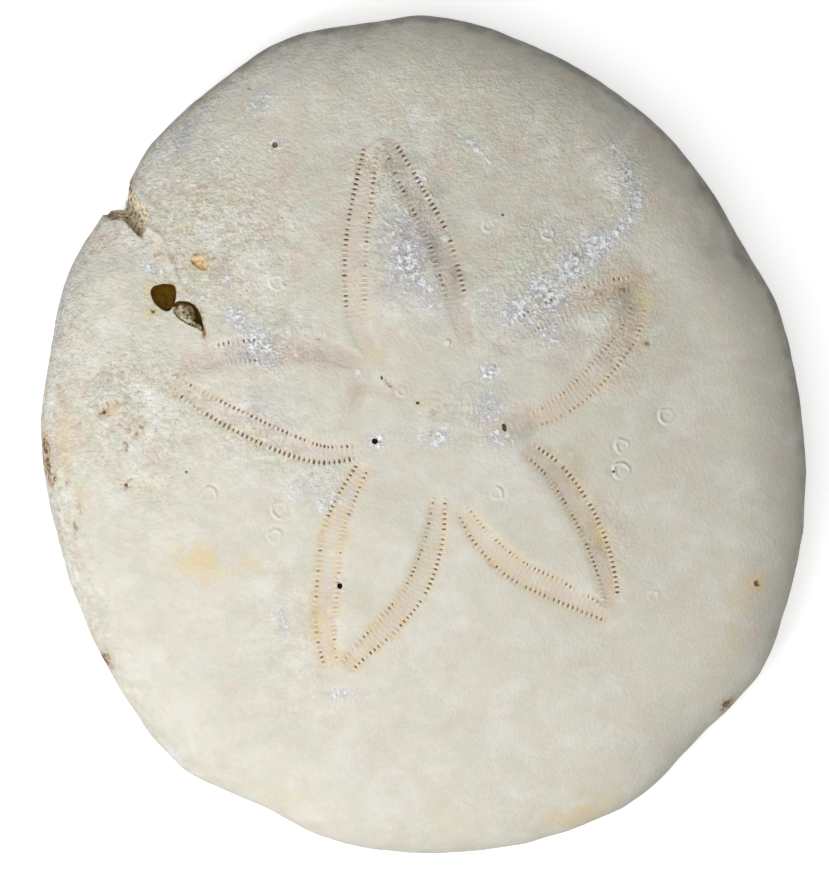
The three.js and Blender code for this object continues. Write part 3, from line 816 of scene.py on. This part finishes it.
def makeSurface():
    look = surfaceLook
    material, tree, shader = newMaterial("bleached calcite", look["roughness"])
    where = addNode(tree, "TexCoord").outputs["Object"]
    elsewhere = addNode(tree, "Mapping", {"Vector": where, "Location": (0.31, 0.17, 0.0)}).outputs[0]
    coarse = mask(tree, "coarse")
    grain = addNode(tree, "Group", {"Vector": where, "Coarse": coarse}, node_tree=grainGroup)
    blotchy = ramp(tree, coarse, 0.0, 1.0, 0.3, 0.75)

    def layTints(colour, name):
        for shade, place, size, low, high, area, detail, strength in surfaceTints[name]:
            spread = flecks(tree, (where, elsewhere)[place], size, low, high,
                            1.0 if area == "all" else mask(tree, area), detail)
            spread = times(tree, spread, blotchy if strength == "blotchy" else strength)
            colour = mixColour(tree, spread, colour, look[shade])
        return colour

    def shadeOver(colour, area, strength, shade):
        return mixColour(tree, times(tree, area, strength), colour, look[shade])

    # Creamier at the back left to greyer at the front right: partly tone, partly painted shade on the side
    # turned from the key light
    colour = mixColour(tree, mask(tree, "greyAndShade"), look["cream"], look["stoneAndShade"])
    colour = layTints(colour, "ground")

    # Light and dark mottling, strongest where the surface is rough
    rough = ramp(tree, grain.outputs["Mottle"], 0.34, 0.66, 0.87, 1.22)
    calm = ramp(tree, grain.outputs["Mottle"], 0.3, 0.7, 0.97, 1.03)
    mottle = addNode(tree, "Mix", {0: coarse, 2: calm, 3: rough}).outputs[0]
    colour = layTints(mixColour(tree, 1.0, colour, mottle, "MULTIPLY"), "grains")

    wave, slit, ridge = paintSlitShadeAndRidgeHighlight(tree, where)
    # Dark slits, partly stain and partly painted shade, and a painted highlight on the ridges between them
    colour = shadeOver(colour, slit, 0.5, "slit")
    colour = shadeOver(colour, ridge, 0.85, "ridge")
    # Pale worn bosses, and a painted highlight along the crack's lip
    colour = shadeOver(colour, mask(tree, "boss"), 0.7, "pale")
    colour = layTints(colour, "crusts")
    tree.links.new(colour, shader.inputs["Base Color"])

    # Very faint furrows join each slit to its partner.
    furrows = times(tree, wave, mask(tree, "band"))
    crust = flecks(tree, where, 1500.0, 0.36, 0.56, mask(tree, "chalk"), 4.0)
    height = grain.outputs["Height"]
    for part, share in ((furrows, 0.02), (ridge, 0.25), (crust, 0.3)):
        height = calculate(tree, "ADD", height, times(tree, part, share))
    setBump(tree, shader, height, look["grainDepth"])
    return material


liningLook = {
    "pore lining": {"dark": (0.20, 0.13, 0.07, 1), "light": (0.42, 0.30, 0.19, 1), "size": 1500.0},
    "hole lining": {"dark": (0.26, 0.125, 0.004, 1), "light": (0.42, 0.235, 0.02, 1), "size": 900.0},
    "broken calcite": {"dark": (0.22, 0.14, 0.07, 1), "light": (0.92, 0.82, 0.62, 1), "size": 1700.0},
    "washed-in grit": {"dark": (0.20, 0.15, 0.06, 1), "light": (0.66, 0.61, 0.42, 1), "size": 1500.0},
    "shallow pit lining": {"dark": (0.50, 0.26, 0.08, 1), "light": (0.78, 0.62, 0.39, 1), "size": 1100.0},
}


def makeLining(name):
    look = liningLook[name]
    material, tree, shader = newMaterial(name, 0.85)
    where = addNode(tree, "TexCoord").outputs["Object"]
    patch = flecks(tree, where, look["size"], 0.36, 0.54, 1.0)
    colour = mixColour(tree, patch, look["dark"], look["light"])
    # The lining darkens with grime and with painted shade at the edges of the holes and in the notch
    colour = mixColour(tree, times(tree, mask(tree, "grimeAndShade"), 0.85), colour, surfaceLook["grimeAndShade"])
    tree.links.new(colour, shader.inputs["Base Color"])
    grain = addNode(tree, "Group", {"Vector": where, "Coarse": 1.0}, node_tree=grainGroup)
    setBump(tree, shader, grain.outputs["Height"], surfaceLook["grainDepth"])
    return material


surfaceMaterial = makeSurface()
linings = {name: makeLining(name) for name in liningLook}
print("sand dollar: materials made")


# The body: a ball drawn out along its meridians into dome, shoulder, undercut and foot

ringSlack = 0.01  # rings are compared with this much room


def makeBody():
    shape = testShape
    rings = shape["rings"]
    bpy.ops.mesh.primitive_uv_sphere_add(segments=shape["segments"], ring_count=rings, radius=mm)
    body = bpy.context.object
    body.name = "sandDollarTest"
    ball = places(body)
    angle = np.arctan2(ball[:, 1], ball[:, 0])
    ring = np.arccos(np.clip(ball[:, 2], -1, 1)) / math.pi * rings
    rim = rimRadius(angle)
    half = math.pi / 2

    dome, shoulder, under = shape["domeRings"], shape["shoulderRings"], shape["undercutRings"]
    shoulderTurn = (shoulder - ring) / (shoulder - dome) * half
    underTurn = (ring - shoulder) / (under - shoulder) * half
    inward = (rings - ring) / (rings - under)
    radius = np.select(
        [ring <= dome, ring <= shoulder, ring <= under],
        [(rim - shape["shoulderWidth"]) * (ring / dome),
         rim - shape["shoulderWidth"] * (1 - np.cos(shoulderTurn)),
         rim - shape["footWidth"] * (1 - np.cos(underTurn))],
        (rim - shape["footWidth"]) * inward)
    x, y = apexX + radius * np.cos(angle), apexY + radius * np.sin(angle)

    dish = shape["undersideHollow"] * smoothStep(1 - inward / shape["footInner"])
    undercut = widestLevel * (1 - np.sin(underTurn))
    z = np.where(ring < under - ringSlack, undercut, np.where(inward < shape["footInner"], dish, 0))
    top = ring < shoulder + ringSlack
    z[top] = plainHeight(x[top], y[top])
    setPlaces(body, np.stack([x, y, z], axis=1))
    body.data.materials.append(surfaceMaterial)

    marks = body.data.attributes.new("meridian", "FLOAT", "POINT")
    marks.data.foreach_set("value", ring)
    return body


def splitFaces(body, near, cuts):  # near chooses among the faces that look up, from their middles
    polygons = body.data.polygons
    middles, normals = np.empty(len(polygons) * 3), np.empty(len(polygons) * 3)
    polygons.foreach_get("center", middles)
    polygons.foreach_get("normal", normals)
    x, y = middles.reshape(-1, 3)[:, :2].T / mm
    selectFaces(body, near(x, y) & (normals.reshape(-1, 3)[:, 2] > 0.3))
    bpy.ops.mesh.subdivide(number_cuts=cuts)
    setMode("OBJECT")


def nearDamage(x, y):
    near = np.abs(crackField(x, y)[0]) < fineReach["crack"]
    for place in brokenPlaces.values():
        px, py = np.mean(place["plan"], axis=0)
        near |= np.hypot(x - px, y - py) < fineReach["broken"]
    return near


def nearCrackLine(x, y):
    away, share = crackField(x, y)
    return (np.abs(away) < fineReach["line"]) & (share < 0.9)


def nearBosses(x, y):
    near = np.zeros(len(x), bool)
    for bx, by, width in [boss[:3] for boss in bossRings] + bossKnobs:
        near |= np.hypot(x - bx, y - by) < width / 2 + fineReach["boss"]
    return near


def shapeTop(body):
    coords, rings = places(body), meridianRings(body)
    top = rings < testShape["shoulderRings"] - ringSlack
    coords[top, 2] = surfaceHeight(coords[top, 0], coords[top, 1])
    # The rim is a little lumpy, from the last rings of the dome to the first ones of the flat foot.
    (start, rise), (end, fall), (broad, size), fine = rimLumps.values()
    side = smoothStep((rings - start) / rise) * smoothStep((end - rings) / fall)
    for i in np.nonzero(side > 0)[0]:
        x, y, z = coords[i]
        outward = Vector((x - apexX, y - apexY)).normalized()
        push = broad * noise.noise((x / size, y / size, z / size)) + fine * noise.noise((x, y, z))
        coords[i, 0] += outward.x * push * side[i]
        coords[i, 1] += outward.y * push * side[i]
    setPlaces(body, coords)


def grooveUnderside(body):  # five straight food grooves, opposite the petals
    coords, rings = places(body), meridianRings(body)
    mouthX, mouthY = undersideParts["mouth"]
    dx, dy = coords[:, 0] - mouthX, coords[:, 1] - mouthY
    under = rings > testShape["undercutRings"]
    for sides in petals.values():
        tip = np.mean([side["route"][-1] for side in sides.values()], axis=0) - testShape["apex"]
        tip /= np.linalg.norm(tip)
        out, off = dx * tip[0] + dy * tip[1], np.abs(dy * tip[0] - dx * tip[1])
        deep = smoothStep(1 - off / undersideParts["grooveWidth"]) * (out > 0)
        deep = deep * smoothStep((undersideParts["grooveReach"] - out) / 12)
        coords[under, 2] += (undersideParts["grooveDepth"] * deep)[under]
    setPlaces(body, coords)


body = makeBody()
splitFaces(body, nearDamage, 1)
splitFaces(body, nearCrackLine, 1)
splitFaces(body, nearBosses, 3)
shapeTop(body)
grooveUnderside(body)
print("sand dollar: body shaped,", len(body.data.polygons), "faces")


# Cutters

def unitCylinder(sides):  # a millimetre across and a millimetre tall
    bpy.ops.mesh.primitive_cylinder_add(vertices=sides, radius=0.5 * mm, depth=mm, end_fill_type="NGON")
    return bpy.context.object


def poreCutter():  # one tapered pore, copied for every slit and dot
    cutter = unitCylinder(8)
    for face in cutter.data.polygons:
        face.select = face.normal[2] < -0.9
    setMode("EDIT")
    bpy.ops.mesh.select_mode(type="FACE")
    bpy.ops.transform.resize(value=(poreRows["taper"], poreRows["taper"], 1))
    setMode("OBJECT")
    return cutter


def placeCopy(model, place, turn, size, lining):
    copy = model.copy()
    copy.data = model.data.copy()
    scene.collection.objects.link(copy)
    copy.data.transform(Matrix.Translation(Vector(place) * mm) @ Matrix.Rotation(turn, 4, "Z")
                        @ Matrix.Diagonal((*size, 1)))
    copy.data.materials.append(lining)
    return copy


def cutPores(body):
    model = poreCutter()
    rows = poreRows
    spots, closed = [], []
    for row in rowPaths:
        length = row["along"][-1]
        for number in range(int(length / rows["pitch"])):
            along = (number + 0.5) * rows["pitch"]
            share = along / length
            chance = max([c for start, end, c in row["open"] if start <= share <= end], default=0)
            shown = random.random() < chance
            size = random.uniform(*rows["sizes"]) * row["size"]
            x, y, nx, ny = (np.interp(along, row["along"], values)
                            for values in (*row["path"].T, *row["inward"].T))
            gap, turn = float(rowGap(share)), math.atan2(ny, nx)
            outer = (x, y, turn, rows["slit"], size, row["stain"])
            inner = (x + nx * gap, y + ny * gap, turn, rows["dot"], size, row["stain"] * rows["innerStain"])
            if shown:
                spots.append(outer)
                (spots if random.random() < row["inner"] else closed).append(inner)
            elif chance > rows["shownFrom"]:
                closed += [outer, inner]
    heights = surfaceHeight([s[0] for s in spots], [s[1] for s in spots])
    copies = []
    for (x, y, turn, (wide, narrow), size, stain), z in zip(spots, heights):
        tall = rows["above"] + rows["depth"] * size
        copies.append(placeCopy(model, (x, y, z + rows["above"] - tall / 2), turn,
                                (wide * size, narrow * size, tall), linings["pore lining"]))
    bpy.data.objects.remove(model)
    carve(body, joinAll(copies))
    print("sand dollar:", len(spots), "pores cut")
    return spots, closed


def cutRoundHoles(body):
    model = unitCylinder(20)
    copies = []
    above = 0.5
    for x, y, wide, long, turn, deep in roundHoles.values():
        z = float(surfaceHeight(x, y)[0])
        copies.append(placeCopy(model, (x, y, z + (above - deep) / 2), math.radians(turn),
                                (wide, long, above + deep), linings["pore lining"]))
    bpy.data.objects.remove(model)
    cutter = joinAll(copies)
    roughen(cutter, 0.05, 0.5, 4.2, flat=True)
    carve(body, cutter)


def planCutter(plan, lining):  # a flat face with the given plan, selected and ready to be extruded
    bpy.ops.mesh.primitive_circle_add(vertices=len(plan), radius=mm, fill_type="NGON")
    cutter = bpy.context.object
    setPlaces(cutter, plan)
    cutter.data.materials.append(lining)
    setMode("EDIT")
    bpy.ops.mesh.select_all(action="SELECT")
    return cutter


def extrudeDown(step):
    bpy.ops.mesh.extrude_region_move(TRANSFORM_OT_translate={"value": (0, 0, -step * mm)})


def extrudeLevels(levels, depth=0.0, width=1.0):  # each level is a depth below the surface and a width
    for nextDepth, nextWidth in levels:
        extrudeDown(nextDepth - depth)
        if nextWidth != width:
            bpy.ops.transform.resize(value=(nextWidth / width, nextWidth / width, 1))
        depth, width = nextDepth, nextWidth


def closeCutter():
    bpy.ops.mesh.select_all(action="SELECT")
    bpy.ops.mesh.normals_make_consistent(inside=False)
    setMode("OBJECT")


def cutBrokenPlace(body, place, lining):
    path = smoothPath(place["plan"], closed=True, steps=4)
    level = float(surfaceHeight(*path.mean(axis=0))[0])
    above = 1.2
    cutter = planCutter([(x, y, level + above) for x, y in path], lining)
    extrudeLevels([(0.0, 1.0)] + place["levels"], depth=-above)
    closeCutter()
    roughen(cutter, place["rough"], 0.8, 2.6)
    carve(body, cutter)


def cutNotch(body):
    surfacePath = smoothPath(notch["surfacePlan"], closed=True, steps=7)
    rimPath = smoothPath(notch["rimPlan"], closed=True, steps=7)
    cutter = planCutter([(x, y, notch["top"]) for x, y in surfacePath], linings["broken calcite"])
    step = (notch["top"] - notch["bottom"]) / notch["levels"]
    for level in range(notch["levels"]):
        extrudeDown(step)
    closeCutter()
    coords = places(cutter)
    shift = rimPath - surfacePath
    nearest = np.argmin(np.hypot(*(coords[:, None, :2] - surfacePath[None]).transpose(2, 0, 1)), axis=1)
    fall = (notch["surfaceLevel"] - coords[:, 2]) / (notch["surfaceLevel"] - notch["rimLevel"])
    coords[:, :2] += shift[nearest] * np.clip(fall, 0, 1)[:, None]
    setPlaces(cutter, coords)
    roughen(cutter, notch["rough"], 1.6, 9.3)
    roughen(cutter, notch["rough"] * 0.6, 0.7, 1.7)
    carve(body, cutter)


def addRubble(body):
    heap = None
    for number, (x, y, deep, size) in enumerate(rubble):
        z = float(surfaceHeight(x, y)[0]) - deep
        bpy.ops.mesh.primitive_ico_sphere_add(subdivisions=3, radius=size * mm,
                                              location=(x * mm, y * mm, z * mm))
        grain = bpy.context.object
        bpy.ops.object.transform_apply(location=True)
        roughen(grain, size * 0.45, size * 1.1, number * 3.3)
        grain.data.materials.append(linings["washed-in grit"])
        if heap is None:
            heap = grain
        else:
            carve(heap, grain, "UNION")
    carve(body, heap, "UNION")


def cutUnderside(body):
    parts = undersideParts
    x, y = parts["mouth"]
    radius, below = parts["mouthRadius"], 1.0
    plan = [(x + radius * math.cos(a), y + radius * math.sin(a) * 0.95, -below)
            for a in np.linspace(0, 2 * math.pi, 40, endpoint=False)]
    cutter = planCutter(plan, linings["pore lining"])
    extrudeLevels([(-testShape["undersideHollow"] - height, width) for height, width in parts["mouthLevels"]],
                  depth=below)
    closeCutter()
    roughen(cutter, 0.25, 1.6, 6.1)
    carve(body, cutter)

    x, y, wide, long, turn = parts["vent"]
    model = unitCylinder(24)
    low = -0.5
    vent = placeCopy(model, (x, y, (low + parts["ventDepth"]) / 2), math.radians(turn),
                     (wide, long, parts["ventDepth"] - low), linings["pore lining"])
    bpy.data.objects.remove(model)
    carve(body, vent)


openPores, closedPores = cutPores(body)
cutRoundHoles(body)
for placeName, lining in (("round hole", "hole lining"), ("long hole", "hole lining"),
                          ("shallow pit", "shallow pit lining")):
    cutBrokenPlace(body, brokenPlaces[placeName], linings[lining])
addRubble(body)
cutNotch(body)
cutUnderside(body)
print("sand dollar: all cuts made,", len(body.data.polygons), "faces")


# Masks for the materials

def writeMask(body, name, values):
    layer = body.data.attributes.new(name, "FLOAT", "POINT")
    layer.data.foreach_set("value", values)


def poreField(x, y, pores, reach):  # 1 at each pore, fading over the reach, then its size and stain
    tree = kdtree.KDTree(len(pores))
    for number, pore in enumerate(pores):
        tree.insert((pore[0], pore[1], 0), number)
    tree.balance()
    field, size, stain = (np.zeros(len(x)) for _ in range(3))
    for i, (px, py) in enumerate(zip(x, y)):
        number, away = tree.find((px, py, 0))[1:]
        field[i] = math.exp(-(away / reach) ** 2)
        size[i], stain[i] = pores[number][4:]
    return field, size, stain


def paintMasks(body):
    coords = places(body)
    x, y, z = coords.T
    top = z > testShape["rimThickness"] * 0.45
    for name in ("chalk", "golden", "tan", "grimeAndShade", "lilac"):
        writeMask(body, name, blotField(name, x, y) * top)
    # Pale worn bosses, and a painted highlight along the crack's lip
    writeMask(body, "boss", np.maximum(bossShare(x, y), crackLipHighlight(x, y)) * top)
    inset, share = insetShare(x, y)
    leftRim = (1 - smoothStep(inset / 0.8)) * np.clip((y * 0.3 - x * 0.9) / 40, 0, 1)
    writeMask(body, "coarse", np.where(top, np.maximum(coarseField(x, y), leftRim), 0.5))
    # Greyer at the front right, creamier at the back left: partly the test's own tone and partly painted
    # shade on the side turned from the key light
    writeMask(body, "greyAndShade", np.clip((x * 0.75 + y * 0.6 + 30) / 80, 0, 1))
    # Painted shade along the front right edge of the rim, which turns away from the key light
    turned = np.clip((x * 0.5 + y * 0.87) / 40, 0, 1)
    edge = (1 - smoothStep(inset / 0.2)) * turned * smoothStep((z - 4.5) / 2) * 0.75
    writeMask(body, "darkPatchesAndShade", np.maximum(edge, blotField("darkPatchesAndShade", x, y) * top))
    along, across, share, past = rowField(x, y)
    writeMask(body, "band", bandShare(across, share, past) * top)
    writeMask(body, "rowAlong", along)
    writeMask(body, "rowAcross", across / rowGap(share))
    near, size, stain = poreField(x, y, openPores + closedPores, poreRows["stainReach"])
    writeMask(body, "stain", near * stain * top)
    writeMask(body, "pores", smoothStep(near * 1.6) * size * top)


paintMasks(body)
pick(body)
bpy.ops.object.shade_smooth_by_angle(angle=math.radians(42))


# The map for the baked finish: the top is one large round island, the underside a small one, and
# the walls of holes fill a corner.

bakeMap = {
    "topMiddle": (0.41, 0.41), "topRadius": 0.40,
    "underMiddle": (0.822, 0.822), "underRadius": 0.165,
    "wallCorner": (0.84, 0.02), "wallSize": 0.14,
    "steepShare": 0.7,
}


def makeBakeMap(body):
    mesh = body.data
    for layer in list(mesh.uv_layers):
        mesh.uv_layers.remove(layer)
    mesh.uv_layers.new(name="OFBake")
    deepLinings = {mesh.materials.find(name) for name in ("hole lining", "washed-in grit", "broken calcite")}
    mesh.polygons.foreach_set("select", [f.material_index in deepLinings for f in mesh.polygons])
    pick(body)
    setMode("EDIT")
    bpy.ops.uv.smart_project(angle_limit=1.15, island_margin=0.01)
    setMode("OBJECT")

    coords = places(body)
    angle = np.arctan2(coords[:, 1] - apexY, coords[:, 0] - apexX)
    radius = np.hypot(coords[:, 0] - apexX, coords[:, 1] - apexY)
    rim = rimRadius(angle)
    # Past the dome the height still to fall counts as length, so the steep rim isn't squeezed.
    fall = plainHeight(coords[:, 0], coords[:, 1]) - widestLevel
    inset = insetShare(coords[:, 0], coords[:, 1])[0]
    steep = bakeMap["steepShare"]
    stretch = radius + (1 - inset) * (widestLevel - np.clip(fall, 0, widestLevel)) * steep
    layer = mesh.uv_layers["OFBake"].data
    longest = float(rim.max()) + widestLevel * steep
    for face in mesh.polygons:
        if face.material_index in deepLinings:
            for loop in face.loop_indices:
                u, v = layer[loop].uv
                layer[loop].uv = (bakeMap["wallCorner"][0] + u * bakeMap["wallSize"],
                                  bakeMap["wallCorner"][1] + v * bakeMap["wallSize"])
            continue
        height = sum(coords[v][2] for v in face.vertices) / len(face.vertices)
        onTop = height > widestLevel
        middle = bakeMap["topMiddle"] if onTop else bakeMap["underMiddle"]
        size = (bakeMap["topRadius"] if onTop else bakeMap["underRadius"]) / longest
        for loop, v in zip(face.loop_indices, face.vertices):
            away = stretch[v] * size if onTop else radius[v] * size
            turn = angle[v] if onTop else math.pi - angle[v]
            layer[loop].uv = (middle[0] + away * math.cos(turn), middle[1] + away * math.sin(turn))


makeBakeMap(body)
body.data.attributes.remove(body.data.attributes["meridian"])
print("sand dollar: masks and map done,", sum(len(f.vertices) - 2 for f in body.data.polygons), "triangles")

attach(body, "root")
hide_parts("test")


# Floor, light and camera

# Places, sizes and the camera's distance are metres here. The shift and the view's height are millimetres.
studio = {
    "floorSize": 4.0,
    "floorColour": (0.72, 0.72, 0.72, 1),
    "floorGlow": 0.55,
    "skyStrength": 0.22,
    "keyPlace": (-0.36, -0.34, 0.46),
    "keySize": 0.34,
    "keyPower": 2.7,
    "topPlace": (-0.1, -0.1, 1.0),
    "topSize": 0.9,
    "topPower": 5.2,
    "cameraDistance": 2.5,
    "cameraShift": (-1.12, -0.66),  # the test sits a little right of and above the middle
    "viewHeight": 115.5,
    "sensorWidth": 36,
}


def makeFloor():
    bpy.ops.mesh.primitive_plane_add(size=studio["floorSize"])
    floor = bpy.context.object
    floor.name = "paleFloor"
    material, tree, shader = newMaterial("pale floor", 0.9)
    shader.inputs["Base Color"].default_value = studio["floorColour"]
    shader.inputs["Emission Color"].default_value = (1, 1, 1, 1)
    seen = addNode(tree, "LightPath").outputs["Is Camera Ray"]
    tree.links.new(times(tree, seen, studio["floorGlow"]), shader.inputs["Emission Strength"])
    floor.data.materials.append(material)


def makeLight(name, place, size, power):
    bpy.ops.object.light_add(type="AREA", location=place)
    light = bpy.context.object
    light.name = name
    light.data.size = size
    light.data.energy = power
    light.rotation_euler = (-Vector(place)).to_track_quat("-Z", "Y").to_euler()


def makeCamera():
    x, y = studio["cameraShift"]
    bpy.ops.object.camera_add(location=(x * mm, y * mm, studio["cameraDistance"]), rotation=(0, 0, 0))
    camera = bpy.context.object
    level = widestLevel * mm
    distance, sensor = studio["cameraDistance"], studio["sensorWidth"]
    camera.data.sensor_width = sensor
    camera.data.lens = sensor * (distance - level) / (studio["viewHeight"] * mm)
    camera.data.clip_start = 0.01
    scene.camera = camera


makeFloor()
makeLight("keyLight", studio["keyPlace"], studio["keySize"], studio["keyPower"])
makeLight("topLight", studio["topPlace"], studio["topSize"], studio["topPower"])
makeCamera()
scene.world = bpy.data.worlds.new("studio")
scene.world.use_nodes = True
scene.world.node_tree.nodes["Background"].inputs[0].default_value = (1, 1, 1, 1)
scene.world.node_tree.nodes["Background"].inputs[1].default_value = studio["skyStrength"]
scene.view_settings.view_transform = "Standard"
print("sand dollar: floor, lights and camera placed")
